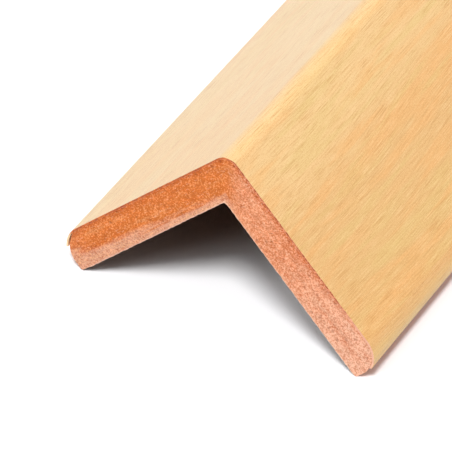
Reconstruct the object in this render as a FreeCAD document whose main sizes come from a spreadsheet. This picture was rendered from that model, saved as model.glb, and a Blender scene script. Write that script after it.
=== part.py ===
import FreeCAD, Part

import math
import os

import Sketcher

# Corner guard moulding: an equal-leg angle milled from fibreboard in one piece, with a thin
# wood-decor foil wrapped over its two outer faces, its rounded ridge and its rounded tips.
# It stands as a tent, ridge up, on the back edges of its two tips, and runs along Y.
# Origin: middle of the length, midway between the tips, on the surface it stands on.

# Each section is drawn square, before it is turned to its stance: the ridge corner is at the
# origin, one leg runs along -X and the other along -Z. Sizes are those of the wrapped section.

STANCE_DEG = -45.0  # turn about Y that puts the ridge on top, legs leaning equally

doc = FreeCAD.newDocument("corner_guard_moulding")
sizes = doc.addObject("Spreadsheet::Sheet", "sizes")

DRIVING_SIZES = [
    ("stock_length", 1200.0, "sawn length"),
    ("leg_width", 40.0, "ridge corner to tip, over the foil"),
    ("leg_thickness", 6.5, "over the foil"),
    ("ridge_radius", 2.4, "outside of the ridge, over the foil"),
    ("tip_radius", 4.8, "outer corner of each tip, over the foil"),
    ("heel_radius", 0.5, "back corner of each tip, which it stands on"),
    ("root_radius", 0.6, "inside corner between the legs"),
    ("foil_thickness", 0.3, "decor foil with its glue"),
    ("foil_wrap", 65.0, "degrees of each tip's round that the foil covers"),
]
for row, (alias, value, note) in enumerate(DRIVING_SIZES, start=1):
    sizes.set(f"A{row}", alias)
    sizes.set(f"B{row}", str(value))
    sizes.set(f"C{row}", note)
    sizes.setAlias(f"B{row}", alias)
doc.recompute()


def size(alias):
    return float(sizes.get(alias))


def body_with_sketch(name):
    """An empty body with a sketch on its XZ plane."""
    body = doc.addObject("PartDesign::Body", name)
    body.Label = name
    sketch = body.newObject("Sketcher::SketchObject", name + "_section")
    plane = next(f for f in body.Origin.OriginFeatures if f.Role == "XZ_Plane")
    sketch.AttachmentSupport = [(plane, "")]
    sketch.MapMode = "FlatFace"
    return body, sketch


def point(x, z):
    return FreeCAD.Vector(x, z, 0.0)


def line(sketch, start, end):
    return sketch.addGeometry(Part.LineSegment(start, end), False)


def arc(sketch, centre, radius, first_deg, sweep_deg=90):
    """An arc that runs counter-clockwise from first_deg."""
    circle = Part.Circle(centre, FreeCAD.Vector(0, 0, 1), radius)
    first, last = math.radians(first_deg), math.radians(first_deg + sweep_deg)
    return sketch.addGeometry(Part.ArcOfCircle(circle, first, last), False)


def constrain(sketch, kind, *where):
    return sketch.addConstraint(Sketcher.Constraint(kind, *where))


def bind(sketch, index, name, formula):
    """Names a measured constraint and ties it to the sheet."""
    sketch.renameConstraint(index, name)
    sketch.setExpression(f"Constraints.{name}", formula)


ORIGIN = (-1, 1)
START, END, CENTRE = 1, 2, 3


def bind_height(sketch, edge, name, value, formula):
    """How far a level edge lies below the origin."""
    index = constrain(sketch, "DistanceY", edge, START, *ORIGIN, value)
    bind(sketch, index, name, formula)


def bind_offset(sketch, edge, name, value, formula):
    """How far an upright edge lies to the left of the origin."""
    index = constrain(sketch, "DistanceX", edge, START, *ORIGIN, value)
    bind(sketch, index, name, formula)


def bind_radius(sketch, bend, name, value, formula):
    index = constrain(sketch, "Radius", bend, value)
    bind(sketch, index, name, formula)


def bind_angle(sketch, edge, name, degrees, formula):
    """The direction of a line from its start to its end, from the X axis."""
    index = constrain(sketch, "Angle", edge, math.radians(degrees))
    bind(sketch, index, name, formula)


def pad_to_length(body, sketch):
    """Runs the section along the whole stock length, half each way from the origin."""
    pad = body.newObject("PartDesign::Pad", body.Name + "_run")
    pad.Profile = sketch
    pad.Midplane = True
    pad.Length = size("stock_length")
    pad.setExpression("Length", "sizes.stock_length")
    sketch.Visibility = False
    return pad


def set_stance(body):
    """Turns the square section ridge up and lifts it until its heels touch the surface."""
    lift = (
        "(sizes.leg_width - sizes.foil_thickness + sizes.leg_thickness"
        " - (2 - sqrt(2)) * sizes.heel_radius) / sqrt(2) * 1 mm"
    )
    turn = FreeCAD.Rotation(FreeCAD.Vector(0, 1, 0), STANCE_DEG)
    body.Placement = FreeCAD.Placement(FreeCAD.Vector(0, 0, 0), turn)
    body.setExpression("Placement.Base.z", lift)


def make_core():
    """The fibreboard angle under the foil, with its bare back."""
    body, sketch = body_with_sketch("mdf_core")
    a, t, f = size("leg_width"), size("leg_thickness"), size("foil_thickness")
    ridge, tip = size("ridge_radius"), size("tip_radius")
    heel, root = size("heel_radius"), size("root_radius")
    end = a - f

    left_outer = line(sketch, point(tip - a, -f), point(-ridge, -f))
    ridge_arc = arc(sketch, point(-ridge, -ridge), ridge - f, 0)
    right_outer = line(sketch, point(-f, -ridge), point(-f, tip - a))
    right_tip = arc(sketch, point(-tip, tip - a), tip - f, 270)
    right_end = line(sketch, point(-tip, -end), point(heel - t, -end))
    right_heel = arc(sketch, point(heel - t, heel - end), heel, 180)
    right_back = line(sketch, point(-t, heel - end), point(-t, -t - root))
    root_arc = arc(sketch, point(-t - root, -t - root), root, 0)
    left_back = line(sketch, point(-t - root, -t), point(heel - end, -t))
    left_heel = arc(sketch, point(heel - end, heel - t), heel, 180)
    left_end = line(sketch, point(-end, heel - t), point(-end, -tip))
    left_tip = arc(sketch, point(tip - a, -tip), tip - f, 90)

    # Edges meet arcs smoothly all the way round. An arc's start is its clockwise end.
    for edge, edge_end, bend, bend_end in [
        (left_outer, END, ridge_arc, END),
        (ridge_arc, START, right_outer, START),
        (right_outer, END, right_tip, END),
        (right_tip, START, right_end, START),
        (right_end, END, right_heel, END),
        (right_heel, START, right_back, START),
        (right_back, END, root_arc, START),
        (root_arc, END, left_back, START),
        (left_back, END, left_heel, END),
        (left_heel, START, left_end, START),
        (left_end, END, left_tip, END),
        (left_tip, START, left_outer, START),
    ]:
        constrain(sketch, "Tangent", edge, edge_end, bend, bend_end)
    for edge in (left_outer, right_end, left_back):
        constrain(sketch, "Horizontal", edge)
    for edge in (right_outer, right_back, left_end):
        constrain(sketch, "Vertical", edge)

    bind_height(sketch, left_outer, "left_face", f, "sizes.foil_thickness")
    bind_offset(sketch, right_outer, "right_face", f, "sizes.foil_thickness")
    leg_end = "sizes.leg_width - sizes.foil_thickness"
    bind_height(sketch, right_end, "right_leg_end", end, leg_end)
    bind_offset(sketch, left_end, "left_leg_end", end, leg_end)
    bind_offset(sketch, right_back, "right_back_face", t, "sizes.leg_thickness")
    bind_height(sketch, left_back, "left_back_face", t, "sizes.leg_thickness")
    bind_radius(sketch, ridge_arc, "ridge", ridge - f, "sizes.ridge_radius - sizes.foil_thickness")
    for bend, name in ((right_tip, "right_tip"), (left_tip, "left_tip")):
        bind_radius(sketch, bend, name, tip - f, "sizes.tip_radius - sizes.foil_thickness")
    for bend, name in ((right_heel, "right_heel"), (left_heel, "left_heel")):
        bind_radius(sketch, bend, name, heel, "sizes.heel_radius")
    bind_radius(sketch, root_arc, "root", root, "sizes.root_radius")

    pad_to_length(body, sketch)
    set_stance(body)
    return body


def make_foil():
    """The decor foil, wrapped from the round of one tip over the ridge to that of the other."""
    body, sketch = body_with_sketch("decor_foil")
    a, f, wrap = size("leg_width"), size("foil_thickness"), size("foil_wrap")
    ridge, tip = size("ridge_radius"), size("tip_radius")
    left_centre, right_centre = point(tip - a, -tip), point(-tip, tip - a)

    def around(centre, radius, degrees):
        """The point of a tip's round that lies in that direction from its centre."""
        turn = math.radians(degrees)
        return centre + point(radius * math.cos(turn), radius * math.sin(turn))

    left_skin = line(sketch, point(tip - a, 0), point(-ridge, 0))
    ridge_skin = arc(sketch, point(-ridge, -ridge), ridge, 0)
    right_skin = line(sketch, point(0, -ridge), point(0, tip - a))
    right_tip_skin = arc(sketch, right_centre, tip, -wrap, wrap)
    right_cut = line(
        sketch, around(right_centre, tip, -wrap), around(right_centre, tip - f, -wrap)
    )
    right_tip_glue = arc(sketch, right_centre, tip - f, -wrap, wrap)
    right_glue = line(sketch, point(-f, tip - a), point(-f, -ridge))
    ridge_glue = arc(sketch, point(-ridge, -ridge), ridge - f, 0)
    left_glue = line(sketch, point(-ridge, -f), point(tip - a, -f))
    left_tip_glue = arc(sketch, left_centre, tip - f, 90, wrap)
    left_cut = line(
        sketch, around(left_centre, tip - f, 90 + wrap), around(left_centre, tip, 90 + wrap)
    )
    left_tip_skin = arc(sketch, left_centre, tip, 90, wrap)

    # The skin side and the glue side run smoothly from cut to cut.
    for edge, edge_end, bend, bend_end in [
        (left_skin, END, ridge_skin, END),
        (ridge_skin, START, right_skin, START),
        (right_skin, END, right_tip_skin, END),
        (right_tip_glue, END, right_glue, START),
        (right_glue, END, ridge_glue, START),
        (ridge_glue, END, left_glue, START),
        (left_glue, END, left_tip_glue, START),
        (left_tip_skin, START, left_skin, START),
    ]:
        constrain(sketch, "Tangent", edge, edge_end, bend, bend_end)
    for edge, edge_end, next_edge, next_end in [
        (right_tip_skin, START, right_cut, START),
        (right_cut, END, right_tip_glue, START),
        (left_tip_glue, END, left_cut, START),
        (left_cut, END, left_tip_skin, END),
        (right_tip_glue, CENTRE, right_tip_skin, CENTRE),
        (left_tip_glue, CENTRE, left_tip_skin, CENTRE),
    ]:
        constrain(sketch, "Coincident", edge, edge_end, next_edge, next_end)
    for edge in (left_skin, left_glue):
        constrain(sketch, "Horizontal", edge)
    for edge in (right_skin, right_glue):
        constrain(sketch, "Vertical", edge)
    constrain(sketch, "PointOnObject", left_skin, START, -1)
    constrain(sketch, "PointOnObject", right_skin, START, -2)

    # Each cut edge points at the centre of its round, foil_wrap degrees past the flat face.
    constrain(sketch, "PointOnObject", right_tip_skin, CENTRE, right_cut)
    constrain(sketch, "PointOnObject", left_tip_skin, CENTRE, left_cut)
    bind_angle(sketch, right_cut, "right_wrap", 180 - wrap, "(180 - sizes.foil_wrap) * 1 deg")
    bind_angle(sketch, left_cut, "left_wrap", 90 + wrap, "(90 + sizes.foil_wrap) * 1 deg")

    to_round = "sizes.leg_width - sizes.tip_radius"
    index = constrain(sketch, "DistanceX", left_tip_skin, CENTRE, *ORIGIN, a - tip)
    bind(sketch, index, "left_round", to_round)
    index = constrain(sketch, "DistanceY", right_tip_skin, CENTRE, *ORIGIN, a - tip)
    bind(sketch, index, "right_round", to_round)
    bind_radius(sketch, ridge_skin, "ridge_skin", ridge, "sizes.ridge_radius")
    bind_radius(
        sketch, ridge_glue, "ridge_glue", ridge - f, "sizes.ridge_radius - sizes.foil_thickness"
    )
    for bend, name in ((right_tip_skin, "right_tip_skin"), (left_tip_skin, "left_tip_skin")):
        bind_radius(sketch, bend, name, tip, "sizes.tip_radius")
    for bend, name in ((right_tip_glue, "right_tip_glue"), (left_tip_glue, "left_tip_glue")):
        bind_radius(sketch, bend, name, tip - f, "sizes.tip_radius - sizes.foil_thickness")

    pad_to_length(body, sketch)
    set_stance(body)
    return body


pieces = [make_core(), make_foil()]
doc.recompute()

for item in doc.Objects:
    faults = {"Invalid", "Error"} & set(item.State)
    if faults:
        raise RuntimeError(f"{item.Label} is {', '.join(sorted(faults))}")
for piece in pieces:
    if piece.Shape.isNull() or not piece.Shape.isValid() or not piece.Shape.Solids:
        raise RuntimeError(f"{piece.Label} has no valid solid")

os.makedirs("parts", exist_ok=True)
for piece in pieces:
    piece.Shape.exportStep(os.path.join("parts", piece.Label + ".step"))
    box = piece.Shape.BoundBox
    print(
        f"{piece.Label}: {piece.Shape.Volume / 1000:.1f} cm3, "
        f"x {box.XMin:.3f} to {box.XMax:.3f}, "
        f"y {box.YMin:.1f} to {box.YMax:.1f}, z {box.ZMin:.3f} to {box.ZMax:.3f}"
    )
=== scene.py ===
import math

import bmesh
import bpy
from mathutils import Matrix, Vector, noise


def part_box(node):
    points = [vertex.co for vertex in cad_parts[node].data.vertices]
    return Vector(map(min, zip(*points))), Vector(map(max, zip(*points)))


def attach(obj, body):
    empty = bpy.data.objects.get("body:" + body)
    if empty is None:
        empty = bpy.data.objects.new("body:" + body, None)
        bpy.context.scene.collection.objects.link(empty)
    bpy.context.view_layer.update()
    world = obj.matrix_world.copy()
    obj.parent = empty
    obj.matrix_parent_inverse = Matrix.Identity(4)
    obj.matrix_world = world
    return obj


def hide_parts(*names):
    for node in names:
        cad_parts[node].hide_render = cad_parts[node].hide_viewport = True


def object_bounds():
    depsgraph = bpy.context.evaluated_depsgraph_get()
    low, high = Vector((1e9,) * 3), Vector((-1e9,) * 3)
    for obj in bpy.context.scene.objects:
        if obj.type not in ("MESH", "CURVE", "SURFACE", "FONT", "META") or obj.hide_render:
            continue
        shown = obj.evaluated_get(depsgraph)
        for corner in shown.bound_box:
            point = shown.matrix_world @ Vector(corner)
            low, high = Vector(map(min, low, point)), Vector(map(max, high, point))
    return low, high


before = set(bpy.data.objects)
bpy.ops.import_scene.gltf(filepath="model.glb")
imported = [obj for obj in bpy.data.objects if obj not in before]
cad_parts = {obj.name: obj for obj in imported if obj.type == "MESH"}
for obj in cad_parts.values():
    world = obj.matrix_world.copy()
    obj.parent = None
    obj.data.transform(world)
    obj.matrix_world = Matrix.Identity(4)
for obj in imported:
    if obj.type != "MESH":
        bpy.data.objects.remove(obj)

cadLow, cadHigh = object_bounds()
halfLength = (cadHigh.y - cadLow.y) / 2
millimetre = 0.001
touching = 1e-6  # nearer than this counts as being there
onPlane = 1e-7  # a point this near a cutting plane lies on it
print("frame loaded")

# The moulding's section, in metres. It is drawn square, with the ridge corner at the
# origin and the legs along -X and -Z, and then turned to stand on its two heels.
section = {
    "legWidth": 40 * millimetre,
    "legThickness": 6.5 * millimetre,
    "ridgeRadius": 2.4 * millimetre,
    "tipRadius": 4.8 * millimetre,
    "heelRadius": 0.5 * millimetre,
    "rootRadius": 0.6 * millimetre,
    "foil": 0.3 * millimetre,
    "wrap": math.radians(65),  # how far the foil goes round each tip
}


def standHeight():
    reach = section["legWidth"] - section["foil"] + section["legThickness"]
    return (reach - (2 - math.sqrt(2)) * section["heelRadius"]) / math.sqrt(2)


def standUp(bm):
    # the heels come down to the floor and the ridge goes on top
    place = Matrix.Translation((0, 0, standHeight())) @ Matrix.Rotation(math.radians(-45), 4, "Y")
    bmesh.ops.transform(bm, matrix=place, verts=bm.verts)


def cut(bm, point, normal):
    parts = bm.verts[:] + bm.edges[:] + bm.faces[:]
    bmesh.ops.bisect_plane(bm, geom=parts, dist=onPlane, plane_co=point, plane_no=normal)


def cutRows(bm, rows):
    # rows across the stock at the same distances from both sawn ends
    for row in rows:
        for side in (-1, 1):
            cut(bm, (0, side * (halfLength - row), 0), (0, 1, 0))


def newPiece(name, bm, materials, node):
    mesh = bpy.data.meshes.new(name)
    bm.to_mesh(mesh)
    bm.free()
    for material in materials:
        mesh.materials.append(material)
    piece = bpy.data.objects.new(name, mesh)
    bpy.context.collection.objects.link(piece)
    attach(piece, "root")
    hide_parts(node)
    return piece


def keepInside(bm, node):
    # a round drawn with more steps than the frame's bulges a hair past it
    low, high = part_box(node)
    for vert in bm.verts:
        for axis in range(3):
            vert.co[axis] = min(max(vert.co[axis], low[axis]), high[axis])


# Shader trees

def addNode(tree, kind, inputs=None, **settings):
    # an input's value is either a constant or the socket that feeds it
    node = tree.nodes.new(kind)
    for name, value in settings.items():
        setattr(node, name, value)
    for name, value in (inputs or {}).items():
        if isinstance(value, bpy.types.NodeSocket):
            tree.links.new(value, node.inputs[name])
        else:
            node.inputs[name].default_value = value
    return node


def mixColour(tree, amount, first, second):
    # the mix node's colours are its inputs 6 and 7, and its output 2
    return addNode(tree, "ShaderNodeMix", {0: amount, 6: first, 7: second}, data_type="RGBA").outputs[2]


def calc(tree, operation, *values):
    return addNode(tree, "ShaderNodeMath", dict(enumerate(values)), operation=operation).outputs[0]


def vectorCalc(tree, operation, inputs):
    return addNode(tree, "ShaderNodeVectorMath", inputs, operation=operation).outputs[0]


def ramp(tree, value, low, high, atLow=0.0, atHigh=1.0):
    node = addNode(tree, "ShaderNodeMapRange", {
        "Value": value, "From Min": low, "From Max": high, "To Min": atLow, "To Max": atHigh,
    }, interpolation_type="SMOOTHSTEP")
    return node.outputs[0]


def stretched(tree, vector, size, turn=(0, 0, 0), place=(0, 0, 0)):
    # pattern space in which one unit is `size` metres
    node = addNode(tree, "ShaderNodeMapping", {
        "Vector": vector, "Location": place, "Rotation": turn,
        "Scale": [1 / s for s in size],
    })
    return node.outputs[0]


def cloud(tree, vector, scale=1.0, detail=2.0, rough=0.5):
    node = addNode(tree, "ShaderNodeTexNoise", {
        "Vector": vector, "Scale": scale, "Detail": detail, "Roughness": rough,
    })
    return node.outputs[0]


def newGroup(name, inputs, outputs):
    tree = bpy.data.node_groups.new(name, "ShaderNodeTree")
    for label, kind, value in inputs:
        socket = tree.interface.new_socket(name=label, in_out="INPUT", socket_type="NodeSocket" + kind)
        if value is not None:
            socket.default_value = value
    for label, kind in outputs:
        tree.interface.new_socket(name=label, in_out="OUTPUT", socket_type="NodeSocket" + kind)
    return tree, addNode(tree, "NodeGroupInput").outputs, addNode(tree, "NodeGroupOutput").inputs


def newMaterial(name):
    material = bpy.data.materials.new(name)
    material.use_nodes = True
    tree = material.node_tree
    return material, tree, tree.nodes["Principled BSDF"]


def addRelief(tree, shader, height, strength, distance):
    bump = addNode(tree, "ShaderNodeBump", {"Height": height, "Strength": strength, "Distance": distance})
    tree.links.new(bump.outputs[0], shader.inputs["Normal"])


# Fibres and bits of one size: a mask of scattered specks, and a fine mottle between them
def makeFleckGroup():
    tree, given, out = newGroup("fibreFlecks", [
        ("Vector", "Vector", None), ("Share", "Float", 0.3), ("Ragged", "Float", 0.9),
    ], [("Mask", "Float"), ("Mottle", "Float")])
    wobble = addNode(tree, "ShaderNodeTexNoise", {"Vector": given["Vector"], "Scale": 1.3, "Detail": 2.0})
    raggedness = vectorCalc(tree, "SCALE", {0: wobble.outputs["Color"], "Scale": given["Ragged"]})
    bent = vectorCalc(tree, "ADD", {0: raggedness, 1: given["Vector"]})
    cells = addNode(tree, "ShaderNodeTexVoronoi", {"Vector": bent, "Scale": 1.0})
    tint = addNode(tree, "ShaderNodeSeparateColor", {"Color": cells.outputs["Color"]})
    chosen = calc(tree, "LESS_THAN", tint.outputs[0], given["Share"])
    near = ramp(tree, cells.outputs["Distance"], 0.5, 0.15)
    strength = calc(tree, "MULTIPLY_ADD", tint.outputs[1], 0.6, 0.4)
    mask = calc(tree, "MULTIPLY", calc(tree, "MULTIPLY", near, chosen), strength)
    tree.links.new(mask, out["Mask"])
    tree.links.new(cloud(tree, given["Vector"], scale=1.0, detail=3.0, rough=0.7), out["Mottle"])
    return tree


fleckGroup = makeFleckGroup()


def addFlecks(tree, vector, share, ragged=0.9):
    return addNode(tree, "ShaderNodeGroup", {
        "Vector": vector, "Share": share, "Ragged": ragged,
    }, node_tree=fleckGroup).outputs


fibreboard = {
    "grid": 0.2 * millimetre,  # mesh of the sawn ends
    "rows": [r * millimetre for r in (0.12, 0.3, 0.6, 1.2, 2.2, 3.5, 5, 7, 15, 40, 120, 300)],
    "arcSteps": 12,
    "sawDepth": 0.05 * millimetre,
    "fuzz": 0.09 * millimetre,  # how deep the ends' outline is nibbled
    "frayed": 0.7 * millimetre,  # how far from an end the nibbling goes
    "tuft": 0.5 * millimetre,  # size of a torn tuft
    "sawMarks": 0.35 * millimetre,
    "chipDepth": 0.26 * millimetre,  # worn off the left tip under the loose foil
    "chipLength": 6 * millimetre,
    "chipFull": 1.5 * millimetre,  # from the end to here the wear is full
    "chipTurn": (math.radians(12), math.radians(34)),  # where round the tip it begins and is full
    "chipSkin": (2.5 * millimetre, 4.4 * millimetre),  # the same from the tip's centre outward
    "orange": (0.690, 0.177, 0.034, 1),
    "outerRed": (0.605, 0.132, 0.028, 1),
    "innerPale": (0.717, 0.397, 0.276, 1),
    "rightLeg": (0.812, 0.319, 0.158, 1),
    "rightTip": (0.846, 0.466, 0.316, 1),
    "darkBit": (0.28, 0.040, 0.008, 1),
    "paleBit": (0.855, 0.440, 0.190, 1),
    "palest": (0.881, 0.581, 0.405, 1),
    # painted highlight along the inner edges of the sawn ends
    "arrisPaintedHighlight": (0.93, 0.66, 0.52, 1),
    # the milled inner faces are painted darker than the board is, as shade that deepens the shadow under
    # the arch
    "milled": (0.062, 0.024, 0.013, 1),
    "milledPale": (0.115, 0.048, 0.027, 1),
}


def sectionPlace(tree):
    # distances from the ridge corner along the left and the right leg
    place = addNode(tree, "ShaderNodeTexCoord").outputs["Object"]
    shift = -standHeight() / math.sqrt(2)
    drawn = addNode(tree, "ShaderNodeMapping", {
        "Vector": place, "Location": (shift, 0, shift), "Rotation": (0, math.radians(45), 0),
    }).outputs[0]
    parts = addNode(tree, "ShaderNodeSeparateXYZ", {"Vector": drawn}).outputs
    left = calc(tree, "MULTIPLY", parts[0], -1.0)
    right = calc(tree, "MULTIPLY", parts[2], -1.0)
    return place, left, right


def makeSawnMaterial():
    material, tree, shader = newMaterial("sawnFibreboard")
    place, left, right = sectionPlace(tree)
    deep = calc(tree, "MINIMUM", left, right)
    along = calc(tree, "MAXIMUM", left, right)
    onRight = ramp(tree, calc(tree, "SUBTRACT", right, left), -1 * millimetre, 5 * millimetre)
    onLeft = calc(tree, "SUBTRACT", 1.0, onRight)
    far = ramp(tree, along, 14 * millimetre, 40 * millimetre)
    colours = fibreboard

    # the pressed layers of the board lie along the left leg
    layers = addNode(tree, "ShaderNodeCombineXYZ", {"X": along, "Y": deep}).outputs[0]
    broad = cloud(tree, stretched(tree, layers, (0.014, 0.0011, 1)), detail=3.0, rough=0.6)
    colour = mixColour(tree, onRight, colours["orange"], colours["rightLeg"])
    belt = calc(tree, "MULTIPLY", ramp(tree, along, 11 * millimetre, 18 * millimetre),
                ramp(tree, along, 29 * millimetre, 21 * millimetre, 0, 0.22))
    colour = mixColour(tree, calc(tree, "MULTIPLY", belt, onRight), colour, colours["outerRed"])
    colour = mixColour(tree, calc(tree, "MULTIPLY", far, onRight), colour, colours["rightTip"])
    edging = ramp(tree, calc(tree, "MULTIPLY", far, onRight), 0.0, 1.0, 0.70, 0.20)
    redder = calc(tree, "MULTIPLY", ramp(tree, deep, 1.4 * millimetre, 0.4 * millimetre), edging)
    colour = mixColour(tree, redder, colour, colours["outerRed"])
    # the pale band under the left leg is a thin line at the ridge and half the leg at the tip
    share = calc(tree, "POWER", calc(tree, "DIVIDE", along, section["legWidth"]), 3.0)
    paleFrom = calc(tree, "SUBTRACT", 5.35 * millimetre, calc(tree, "MULTIPLY", share, 2.9 * millimetre))
    uneven = calc(tree, "MULTIPLY", calc(tree, "SUBTRACT", broad, 0.5), 4 * millimetre)
    beyond = calc(tree, "ADD", calc(tree, "SUBTRACT", deep, paleFrom), uneven)
    paleness = ramp(tree, beyond, -0.7 * millimetre, 0.9 * millimetre)
    paleness = calc(tree, "MULTIPLY", paleness, onLeft)
    colour = mixColour(tree, calc(tree, "MULTIPLY", paleness, 0.85), colour, colours["innerPale"])
    atLeftTip = calc(tree, "MULTIPLY", ramp(tree, along, 33 * millimetre, 39 * millimetre, 0, 0.15), onLeft)
    colour = mixColour(tree, atLeftTip, colour, colours["innerPale"])
    streak = calc(tree, "MULTIPLY", ramp(tree, broad, 0.52, 0.68), calc(tree, "MULTIPLY", onLeft, 0.30))
    colour = mixColour(tree, streak, colour, colours["paleBit"])
    colour = mixColour(tree, ramp(tree, broad, 0.48, 0.32, 0, 0.35), colour, colours["outerRed"])

    # light and dark: soft patches, and fibres that are redder or paler than the rest
    patches = cloud(tree, stretched(tree, layers, (0.0028, 0.0013, 1)), detail=3.0, rough=0.65)
    fine = addFlecks(tree, stretched(tree, place, (0.00026, 0.00026, 0.00026)), 0.45)
    short = addFlecks(tree, stretched(tree, layers, (0.0009, 0.00022, 1)), 0.35, ragged=1.6)
    coarse = addFlecks(tree, stretched(tree, place, (0.00075, 0.00075, 0.00075)), 0.14, ragged=0.8)
    shade = calc(tree, "MULTIPLY", ramp(tree, patches, 0.34, 0.66, 0.92, 1.08),
                 ramp(tree, fine["Mottle"], 0.36, 0.64, 0.82, 1.14))
    colour = vectorCalc(tree, "SCALE", {0: colour, "Scale": shade})
    colour = mixColour(tree, ramp(tree, fine["Mottle"], 0.50, 0.36, 0, 0.66), colour, colours["outerRed"])
    pale = mixColour(tree, onRight, colours["paleBit"], colours["palest"])
    colour = mixColour(tree, ramp(tree, fine["Mottle"], 0.52, 0.65, 0, 0.64), colour, pale)

    # single pale fibres and dark bits
    colour = mixColour(tree, calc(tree, "MULTIPLY", short["Mask"], 0.36), colour, colours["palest"])
    colour = mixColour(tree, calc(tree, "MULTIPLY", fine["Mask"], 0.28), colour, colours["darkBit"])
    colour = mixColour(tree, calc(tree, "MULTIPLY", coarse["Mask"], 0.65), colour, colours["darkBit"])
    # scorched nicks of the saw under the foil
    nicks = addFlecks(tree, stretched(tree, layers, (0.0007, 0.0009, 1)), 0.65, ragged=0.5)
    scorched = calc(tree, "MULTIPLY", ramp(tree, deep, 1.2 * millimetre, 0.5 * millimetre), nicks["Mask"])
    colour = mixColour(tree, calc(tree, "MULTIPLY", scorched, edging), colour, colours["darkBit"])
    # painted highlight: the inner edges of the sawn ends are paler, as if catching the light
    arrisPaintedHighlight = ramp(tree, deep, 6.2 * millimetre, 6.45 * millimetre, 0, 0.5)
    colour = mixColour(tree, arrisPaintedHighlight, colour, colours["arrisPaintedHighlight"])
    tree.links.new(colour, shader.inputs["Base Color"])

    height = calc(tree, "SUBTRACT", fine["Mottle"], calc(tree, "MULTIPLY", coarse["Mask"], 0.8))
    addRelief(tree, shader, height, 0.28, 0.10 * millimetre)
    shader.inputs["Roughness"].default_value = 0.88
    shader.inputs["Specular IOR Level"].default_value = 0.2
    return material


def makeMilledMaterial():
    material, tree, shader = newMaterial("milledFibreboard")
    place, left, right = sectionPlace(tree)
    colours = fibreboard
    lines = cloud(tree, stretched(tree, place, (0.0007, 0.05, 0.0007)), detail=4.0, rough=0.6)
    bits = addFlecks(tree, stretched(tree, place, (0.0006, 0.0016, 0.0006)), 0.3)
    # painted shade: the milling lines are the board's own, but their dark colours deepen the shadow under
    # the arch
    colour = mixColour(tree, ramp(tree, lines, 0.35, 0.68), colours["milled"], colours["milledPale"])
    colour = mixColour(tree, ramp(tree, bits["Mottle"], 0.45, 0.7, 0, 0.3), colour, colours["paleBit"])
    colour = mixColour(tree, calc(tree, "MULTIPLY", bits["Mask"], 0.5), colour, colours["darkBit"])
    # the bare strip of each tip, past the foil's edge, is as pale as the sawn ends
    bare = ramp(tree, calc(tree, "MINIMUM", left, right), 6.4 * millimetre, 6.1 * millimetre)
    raw = mixColour(tree, ramp(tree, bits["Mottle"], 0.4, 0.6), colours["rightLeg"], colours["rightTip"])
    colour = mixColour(tree, bare, colour, raw)
    tree.links.new(colour, shader.inputs["Base Color"])
    addRelief(tree, shader, calc(tree, "ADD", lines, bits["Mottle"]), 0.35, 0.08 * millimetre)
    shader.inputs["Roughness"].default_value = 0.85
    shader.inputs["Specular IOR Level"].default_value = 0.1
    return material


def makeFibreboardPiece():
    width, thick, foil = section["legWidth"], section["legThickness"], section["foil"]
    corners = {
        (-foil, -foil): section["ridgeRadius"] - foil,
        (foil - width, -foil): section["tipRadius"] - foil,
        (foil - width, -thick): section["heelRadius"],
        (-thick, -thick): section["rootRadius"],
        (-thick, foil - width): section["heelRadius"],
        (-foil, foil - width): section["tipRadius"] - foil,
    }
    bm = bmesh.new()
    outline = [bm.verts.new((x, -halfLength, z)) for x, z in corners]
    bm.faces.new(outline)
    for corner, radius in zip(outline, corners.values()):
        bmesh.ops.bevel(bm, geom=[corner], offset=radius, offset_type="OFFSET", affect="VERTICES",
                        segments=fibreboard["arcSteps"], profile=0.5, material=-1)
    for step in range(1, round(width / fibreboard["grid"])):
        cut(bm, (-step * fibreboard["grid"], 0, 0), (1, 0, 0))
        cut(bm, (0, 0, -step * fibreboard["grid"]), (0, 0, 1))
    sheet = bm.faces[:]
    grown = bmesh.ops.extrude_face_region(bm, geom=sheet)["geom"]
    farEnd = [v for v in grown if isinstance(v, bmesh.types.BMVert)]
    bmesh.ops.translate(bm, verts=farEnd, vec=(0, 2 * halfLength, 0))
    bmesh.ops.recalc_face_normals(bm, faces=bm.faces)
    for face in bm.faces:
        face.material_index = 0 if abs(face.normal.y) > 0.5 else 1
    cutRows(bm, fibreboard["rows"])
    wearLeftTip(bm)
    roughenEnds(bm)
    standUp(bm)
    keepInside(bm, "mdf_core")
    return newPiece("fibreboardAngle", bm, [makeSawnMaterial(), makeMilledMaterial()], "mdf_core")


def smooth(value, low, high):
    part = min(max((value - low) / (high - low), 0.0), 1.0)
    return part * part * (3 - 2 * part)


def tipAngle(co):
    # how far round the left tip a point is, from the outer face
    return math.atan2(section["tipRadius"] - section["legWidth"] - co.x, co.z + section["tipRadius"])


def tipCentre():
    # the centre of the left tip's round
    return Vector((section["tipRadius"] - section["legWidth"], 0, -section["tipRadius"]))


def wearLeftTip(bm):
    # the near left tip is a little crushed where the foil has come away
    centre = tipCentre()
    for vert in bm.verts:
        fromEnd = vert.co.y + halfLength
        if fromEnd > fibreboard["chipLength"] or vert.co.x > centre.x:
            continue
        outward = Vector((vert.co.x, 0, vert.co.z)) - centre
        if outward.length < touching:
            continue
        share = smooth(tipAngle(vert.co), *fibreboard["chipTurn"])
        share *= smooth(fromEnd, fibreboard["chipLength"], fibreboard["chipFull"])
        share *= smooth(outward.length, *fibreboard["chipSkin"])
        vert.co -= outward.normalized() * fibreboard["chipDepth"] * share


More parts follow.
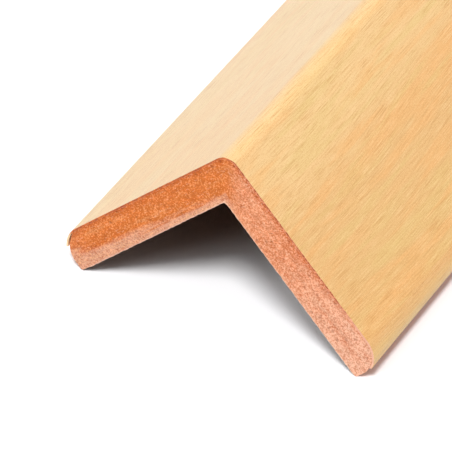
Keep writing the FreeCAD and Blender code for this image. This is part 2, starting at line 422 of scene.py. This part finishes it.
def roughenEnds(bm):
    # the saw tears fibres out of the ends and nibbles their outline
    for vert in bm.verts:
        fromEnd = halfLength - abs(vert.co.y)
        if fromEnd > fibreboard["frayed"]:
            continue
        side = math.copysign(1, vert.co.y)
        spot = Vector((vert.co.x, side, vert.co.z)) / fibreboard["tuft"]
        fade = 1 - fromEnd / fibreboard["frayed"]
        if any(abs(face.normal.y) < 0.5 for face in vert.link_faces):
            inward = -sum((f.normal for f in vert.link_faces if abs(f.normal.y) < 0.5), Vector())
            inward.y = 0
            nibble = max(0.0, 0.35 + noise.noise(spot * 1.1)) * fade
            vert.co += inward.normalized() * fibreboard["fuzz"] * nibble
        if fromEnd < touching:
            torn = noise.noise(spot) + 0.6 * noise.noise(spot * 2.7)
            score = 0.25 + 0.05 * math.sin(vert.co.x / fibreboard["sawMarks"])
            vert.co.y -= side * fibreboard["sawDepth"] * max(0.0, score + 0.8 * torn)


foilSkin = {
    "arcSteps": 14,
    "ridgeSteps": 12,
    "faceCuts": 90,
    "rows": [r * millimetre for r in (0.3, 0.8, 1.4, 2.1, 2.9, 3.8, 4.8, 6, 7.5, 9.5, 13, 30, 100, 300)],
    "nibble": 0.07 * millimetre,
    "nibbleSize": 0.7 * millimetre,
    "liftLength": 8 * millimetre,  # the left tip's loose flap, from the near sawn end
    "liftFull": 3 * millimetre,  # from the end to here it is quite loose
    "liftFrom": math.radians(24),  # how far round the tip it comes loose
    "straightFrom": math.radians(45),  # and how far round it stops following the tip
    "torn": 1.1 * millimetre,  # torn off the flap's edge
    "base": (0.825, 0.490, 0.193, 1),
    # the left face's and the ridge's colours are painted sheen, paler than the print
    "leftPaintedSheen": (0.922, 0.682, 0.384, 1),
    "ridgePaintedSheen": (0.910, 0.600, 0.272, 1),
    "warm": (0.910, 0.460, 0.155, 1),
    "straw": (0.800, 0.570, 0.205, 1),
    "tipDeep": (0.790, 0.470, 0.165, 1),
    # painted light: the right tip's round is paler, as if lit as well as the face
    "tipRoundPaintedLight": (1.000, 0.610, 0.190, 1),
    "line": (0.62, 0.25, 0.050, 1),
    "lineLight": (0.97, 0.70, 0.36, 1),
    "glueLine": (0.42, 0.090, 0.028, 1),
    "paper": (0.90, 0.63, 0.36, 1),
}


# Printed grain dashes of one size, lying along the stock
def makeDashGroup():
    tree, given, out = newGroup("grainDashes", [
        ("Vector", "Vector", None), ("Share", "Float", 0.3), ("Seed", "Float", 0.0),
    ], [("Mask", "Float")])
    moved = vectorCalc(tree, "ADD", {0: given["Vector"], 1: given["Seed"]})
    cells = addNode(tree, "ShaderNodeTexVoronoi", {"Vector": moved, "Scale": 1.0}, voronoi_dimensions="2D")
    tint = addNode(tree, "ShaderNodeSeparateColor", {"Color": cells.outputs["Color"]})
    chosen = calc(tree, "LESS_THAN", tint.outputs[0], given["Share"])
    near = ramp(tree, cells.outputs["Distance"], 0.30, 0.08)
    mask = calc(tree, "MULTIPLY", calc(tree, "MULTIPLY", near, chosen), tint.outputs[1])
    tree.links.new(mask, out["Mask"])
    return tree


dashGroup = makeDashGroup()


def addDashes(tree, vector, size, share, seed):
    return addNode(tree, "ShaderNodeGroup", {
        "Vector": stretched(tree, vector, (*size, 1)), "Share": share, "Seed": seed,
    }, node_tree=dashGroup).outputs[0]


def foilPlace(tree):
    # where a point lies on the flat foil, and how far round from the left leg's edge
    flat = addNode(tree, "ShaderNodeUVMap", uv_map="aroundAndAlong").outputs[0]
    return flat, addNode(tree, "ShaderNodeSeparateXYZ", {"Vector": flat}).outputs[0]


def makeFoilMaterial():
    material, tree, shader = newMaterial("beechFoil")
    flat, around = foilPlace(tree)
    sway = cloud(tree, stretched(tree, flat, (0.016, 0.06, 1)), detail=1.0)
    swayed = calc(tree, "MULTIPLY", sway, 4 * millimetre)
    drift = addNode(tree, "ShaderNodeCombineXYZ", {"X": swayed}).outputs[0]
    grain = vectorCalc(tree, "ADD", {0: flat, 1: drift})
    colours = foilSkin

    # painted sheen: the left face is paler than the print, as if it mirrored the white room, and this fades
    # over the ridge; the print deepens across the right face
    colour = mixColour(tree, ramp(tree, around, 38 * millimetre, 42 * millimetre),
                       colours["leftPaintedSheen"], colours["ridgePaintedSheen"])
    # the last colour is painted light on the right tip's round, which would otherwise shade darker than the
    # face
    for start, full, nextColour in ((46, 58, "base"), (60, 78, "tipDeep"), (75.2, 78, "tipRoundPaintedLight")):
        there = ramp(tree, around, start * millimetre, full * millimetre)
        colour = mixColour(tree, there, colour, colours[nextColour])

    # broad bands and flames of warmer and strawer wood, fainter on the left face, where the painted sheen
    # pales the print
    broad = cloud(tree, stretched(tree, grain, (0.0075, 0.07, 1)), detail=2.0)
    flame = cloud(tree, stretched(tree, grain, (0.0022, 0.022, 1)), detail=2.0, rough=0.55)
    vivid = ramp(tree, around, 36 * millimetre, 46 * millimetre, 0.40, 1)
    for pattern, high, low in ((broad, 0.66, 0.34), (flame, 0.68, 0.32)):
        warmer = calc(tree, "MULTIPLY", ramp(tree, pattern, 0.5, high, 0, 0.52), vivid)
        strawer = calc(tree, "MULTIPLY", ramp(tree, pattern, 0.5, low, 0, 0.44), vivid)
        colour = mixColour(tree, warmer, colour, colours["warm"])
        colour = mixColour(tree, strawer, colour, colours["straw"])

    # hair lines, drawn together in places, and the paper's fine grit
    bundles = cloud(tree, stretched(tree, grain, (0.004, 0.016, 1)), detail=2.0)
    cluster = ramp(tree, bundles, 0.38, 0.62, 0.65, 1)
    hair = cloud(tree, stretched(tree, grain, (0.00010, 0.0046, 1)), detail=2.0, rough=0.6)
    grit = cloud(tree, stretched(tree, grain, (0.00018, 0.00028, 1)), detail=1.0)
    dark = calc(tree, "MULTIPLY", ramp(tree, hair, 0.5, 0.68, 0, 0.58), cluster)
    light = calc(tree, "MULTIPLY", ramp(tree, hair, 0.5, 0.32, 0, 0.51), cluster)
    colour = mixColour(tree, dark, colour, colours["line"])
    colour = mixColour(tree, light, colour, colours["lineLight"])
    colour = mixColour(tree, ramp(tree, grit, 0.5, 0.72, 0, 0.29), colour, colours["line"])
    colour = mixColour(tree, ramp(tree, grit, 0.5, 0.28, 0, 0.29), colour, colours["lineLight"])
    for size, share, seed, darkness in (
        ((0.00013, 0.0046), 0.28, 3.7, 0.57),
        ((0.00015, 0.0120), 0.14, 11.3, 0.85),
    ):
        dashes = calc(tree, "MULTIPLY", addDashes(tree, grain, size, share, seed), darkness)
        colour = mixColour(tree, calc(tree, "MULTIPLY", dashes, cluster), colour, colours["line"])
    tree.links.new(colour, shader.inputs["Base Color"])
    addRelief(tree, shader, hair, 0.10, 0.02 * millimetre)
    shader.inputs["Roughness"].default_value = 0.38
    shader.inputs["IOR"].default_value = 1.48
    return material


def makeEdgeMaterial():
    # the foil's thickness: paper, stained by the glue except on the loose flap
    material, tree, shader = newMaterial("foilEdge")
    around = foilPlace(tree)[1]
    place = addNode(tree, "ShaderNodeTexCoord").outputs["Object"]
    flecks = addFlecks(tree, stretched(tree, place, (0.0005, 0.0005, 0.0005)), 0.5)
    onRight = ramp(tree, around, 38 * millimetre, 44 * millimetre)
    board = mixColour(tree, onRight, fibreboard["orange"], fibreboard["rightLeg"])
    colour = mixColour(tree, ramp(tree, flecks["Mottle"], 0.42, 0.62), foilSkin["glueLine"], board)
    colour = mixColour(tree, calc(tree, "MULTIPLY", flecks["Mask"], 0.6), colour, fibreboard["darkBit"])
    atRightTip = ramp(tree, around, 66 * millimetre, 76 * millimetre)
    colour = mixColour(tree, atRightTip, colour, fibreboard["rightTip"])
    loose = ramp(tree, around, 4.6 * millimetre, 3 * millimetre)
    colour = mixColour(tree, loose, colour, foilSkin["paper"])
    tree.links.new(colour, shader.inputs["Base Color"])
    shader.inputs["Roughness"].default_value = 0.75
    return material


def makeFoilPiece():
    width, ridge, tip = section["legWidth"], section["ridgeRadius"], section["tipRadius"]
    bm = bmesh.new()
    # the ridge's round, then a face and a tip's round on each side of it
    leftOfRidge = bm.verts.new((-ridge, -halfLength, 0))
    turned = bmesh.ops.spin(bm, geom=[leftOfRidge], cent=(-ridge, 0, -ridge), axis=(0, 1, 0),
                            angle=math.radians(90), steps=foilSkin["ridgeSteps"])["geom_last"]
    rightOfRidge = next(v for v in turned if isinstance(v, bmesh.types.BMVert))
    faces = []
    for start, place, centre, turn in (
        (leftOfRidge, (tip - width, -halfLength, 0), (tip - width, 0, -tip), -section["wrap"]),
        (rightOfRidge, (0, -halfLength, tip - width), (-tip, 0, tip - width), section["wrap"]),
    ):
        last = bm.verts.new(place)
        faces.append(bm.edges.new((start, last)))
        bmesh.ops.spin(bm, geom=[last], cent=centre, axis=(0, 1, 0), angle=turn,
                       steps=foilSkin["arcSteps"])
    bmesh.ops.subdivide_edges(bm, edges=faces, cuts=foilSkin["faceCuts"])
    around = bm.verts.layers.float.new("around")
    measureAround(bm, around)
    grown = bmesh.ops.extrude_edge_only(bm, edges=bm.edges[:])["geom"]
    farEnd = [v for v in grown if isinstance(v, bmesh.types.BMVert)]
    bmesh.ops.translate(bm, verts=farEnd, vec=(0, 2 * halfLength, 0))
    cutRows(bm, foilSkin["rows"])
    bmesh.ops.recalc_face_normals(bm, faces=bm.faces)
    if sum((face.normal.x + face.normal.z) * face.calc_area() for face in bm.faces) < 0:
        bmesh.ops.reverse_faces(bm, faces=bm.faces)
    skin = set(bm.faces)
    bmesh.ops.solidify(bm, geom=bm.faces[:], thickness=section["foil"])
    pattern = bm.loops.layers.uv.new("aroundAndAlong")
    for face in bm.faces:
        face.material_index = 0 if face in skin else 1
        for loop in face.loops:
            loop[pattern].uv = (loop.vert[around], loop.vert.co.y)
    nibbleEnds(bm)
    liftFlap(bm, around)
    standUp(bm)
    keepInside(bm, "decor_foil")
    return newPiece("beechFoil", bm, [makeFoilMaterial(), makeEdgeMaterial()],
                    "decor_foil")


def nibbleEnds(bm):
    for vert in bm.verts:
        if halfLength - abs(vert.co.y) < touching:
            spot = vert.co / foilSkin["nibbleSize"]
            bite = max(0.0, 0.3 + noise.noise(spot) + 0.5 * noise.noise(spot * 3.1))
            vert.co.y -= math.copysign(1, vert.co.y) * foilSkin["nibble"] * bite


def liftFlap(bm, around):
    # the flap hangs straight where the foil should curl under the left tip
    centre = tipCentre()
    liftFrom = foilSkin["liftFrom"]
    flap = section["tipRadius"] * (section["wrap"] - liftFrom)
    for vert in bm.verts:
        fromEnd = vert.co.y + halfLength
        angle = section["wrap"] - vert[around] / section["tipRadius"]
        if fromEnd > foilSkin["liftLength"] or angle < liftFrom:
            continue
        loose = smooth(fromEnd, foilSkin["liftLength"], foilSkin["liftFull"])
        radius = (Vector((vert.co.x, 0, vert.co.z)) - centre).length
        kept = liftFrom + (angle - liftFrom) * (1 - loose * foilSkin["torn"] / flap)
        bend = min(kept, foilSkin["straightFrom"])
        hang = section["tipRadius"] * (kept - bend)
        outward = Vector((-math.sin(bend), 0, math.cos(bend)))
        down = Vector((-math.cos(bend), 0, -math.sin(bend)))
        hanging = centre + outward * radius + down * hang
        curled = centre + Vector((-math.sin(kept), 0, math.cos(kept))) * radius
        place = curled.lerp(hanging, loose)
        vert.co.x, vert.co.z = place.x, place.z


def measureAround(bm, layer):
    # distance round the section from the left leg's edge, as the foil was when it was flat
    vert = min((v for v in bm.verts if len(v.link_edges) == 1), key=lambda v: v.co.x)
    edge, travelled = None, 0.0
    while vert:
        vert[layer] = travelled
        onward = [e for e in vert.link_edges if e is not edge]
        if not onward:
            return
        edge = onward[0]
        travelled += edge.calc_length()
        vert = edge.other_vert(vert)


makeFibreboardPiece()
print("fibreboard made")
makeFoilPiece()
print("foil made")


# The camera looks at the near sawn end from above and to the right
view = {
    "place": (0.27642, -1.16264, 0.52205),
    "azimuth": math.radians(26.127),
    "elevation": math.radians(38.758),
    "roll": math.radians(3.717),
    "lens": 431.2,
}


def setCamera():
    lens = bpy.data.cameras.new("camera")
    lens.lens = view["lens"]
    lens.sensor_width = 36
    lens.clip_end = 100
    camera = bpy.data.objects.new("camera", lens)
    turn = (Matrix.Rotation(view["azimuth"], 4, "Z")
            @ Matrix.Rotation(math.radians(90) - view["elevation"], 4, "X")
            @ Matrix.Rotation(view["roll"], 4, "Z"))
    camera.matrix_world = Matrix.Translation(view["place"]) @ turn
    bpy.context.collection.objects.link(camera)
    bpy.context.scene.camera = camera


studio = {
    "floorSize": 12.0,
    "floorColour": (0.60, 0.60, 0.61, 1),
    "floorReflected": (1.02, 1.02, 1.02, 1),
    "floorSeen": (1.04, 1.04, 1.06, 1),
    "sky": 0.34,
    "leftSide": 0.25,
    "rightSide": 1.04,
    # soft glows: where each comes from, how strong it is, and the cosines of its edge and heart
    "glows": (((-0.367, -0.721, 0.588), 4.6, 0.92, 0.985), ((0.2, 0.957, 0.21), 0.8, 0.80, 0.97)),
    "horizon": 0.03,  # the sky's strength low down
    "lamp": 2.40,
    "lampSpread": math.radians(14),
    "lampHeight": math.radians(59.5),
    "lampTurn": math.radians(15),
}


def makeRays(tree):
    # camera rays, and those that a glossy or clear surface sends on
    rays = addNode(tree, "ShaderNodeLightPath").outputs
    onward = calc(tree, "MAXIMUM", rays["Is Glossy Ray"], rays["Is Transmission Ray"])
    return rays["Is Camera Ray"], onward


def makeFloor():
    bm = bmesh.new()
    bmesh.ops.create_grid(bm, x_segments=1, y_segments=1, size=studio["floorSize"] / 2)
    mesh = bpy.data.meshes.new("floor")
    bm.to_mesh(mesh)
    bm.free()
    material, tree, shader = newMaterial("paleFloor")
    tree.nodes.remove(shader)
    camera, onward = makeRays(tree)
    colour = mixColour(tree, onward, studio["floorColour"], studio["floorReflected"])
    plain = addNode(tree, "ShaderNodeBsdfDiffuse", {
        "Color": mixColour(tree, camera, colour, studio["floorSeen"]),
    })
    tree.links.new(plain.outputs[0], tree.nodes["Material Output"].inputs["Surface"])
    mesh.materials.append(material)
    floor = bpy.data.objects.new("floor", mesh)
    bpy.context.collection.objects.link(floor)


def lightStudio():
    world = bpy.data.worlds.new("studio")
    bpy.context.scene.world = world
    world.use_nodes = True
    tree = world.node_tree
    background = tree.nodes["Background"]
    way = addNode(tree, "ShaderNodeTexCoord").outputs["Generated"]
    # bright overhead, at the sides and where the glows are, and dim elsewhere
    parts = addNode(tree, "ShaderNodeSeparateXYZ", {"Vector": way}).outputs
    overhead = ramp(tree, parts[2], 0.5, 0.95, studio["horizon"], studio["sky"])
    left = ramp(tree, parts[0], -0.66, -0.92, 0, studio["leftSide"])
    right = ramp(tree, parts[0], 0.66, 0.92, 0, studio["rightSide"])
    sky = calc(tree, "MAXIMUM", overhead, calc(tree, "ADD", left, right))
    for glowFrom, peak, edge, heart in studio["glows"]:
        near = addNode(tree, "ShaderNodeVectorMath", {0: way, 1: glowFrom}, operation="DOT_PRODUCT")
        sky = calc(tree, "MAXIMUM", sky, ramp(tree, near.outputs["Value"], edge, heart, 0, peak))
    camera, onward = makeRays(tree)
    strength = addNode(tree, "ShaderNodeMapRange", {
        "Value": calc(tree, "MAXIMUM", camera, onward), "To Min": sky, "To Max": 1.0,
    })
    tree.links.new(strength.outputs[0], background.inputs["Strength"])
    background.inputs["Color"].default_value = (1, 1, 1, 1)
    lamp = bpy.data.lights.new("overheadLamp", "SUN")
    lamp.energy = studio["lamp"]
    lamp.angle = studio["lampSpread"]
    lampObject = bpy.data.objects.new("overheadLamp", lamp)
    lampObject.matrix_world = (Matrix.Rotation(studio["lampTurn"], 4, "Z")
                               @ Matrix.Rotation(math.radians(90) - studio["lampHeight"], 4, "X"))
    bpy.context.collection.objects.link(lampObject)


setCamera()
makeFloor()
lightStudio()
bpy.context.scene.view_settings.view_transform = "Standard"
print("camera, floor and lights set")
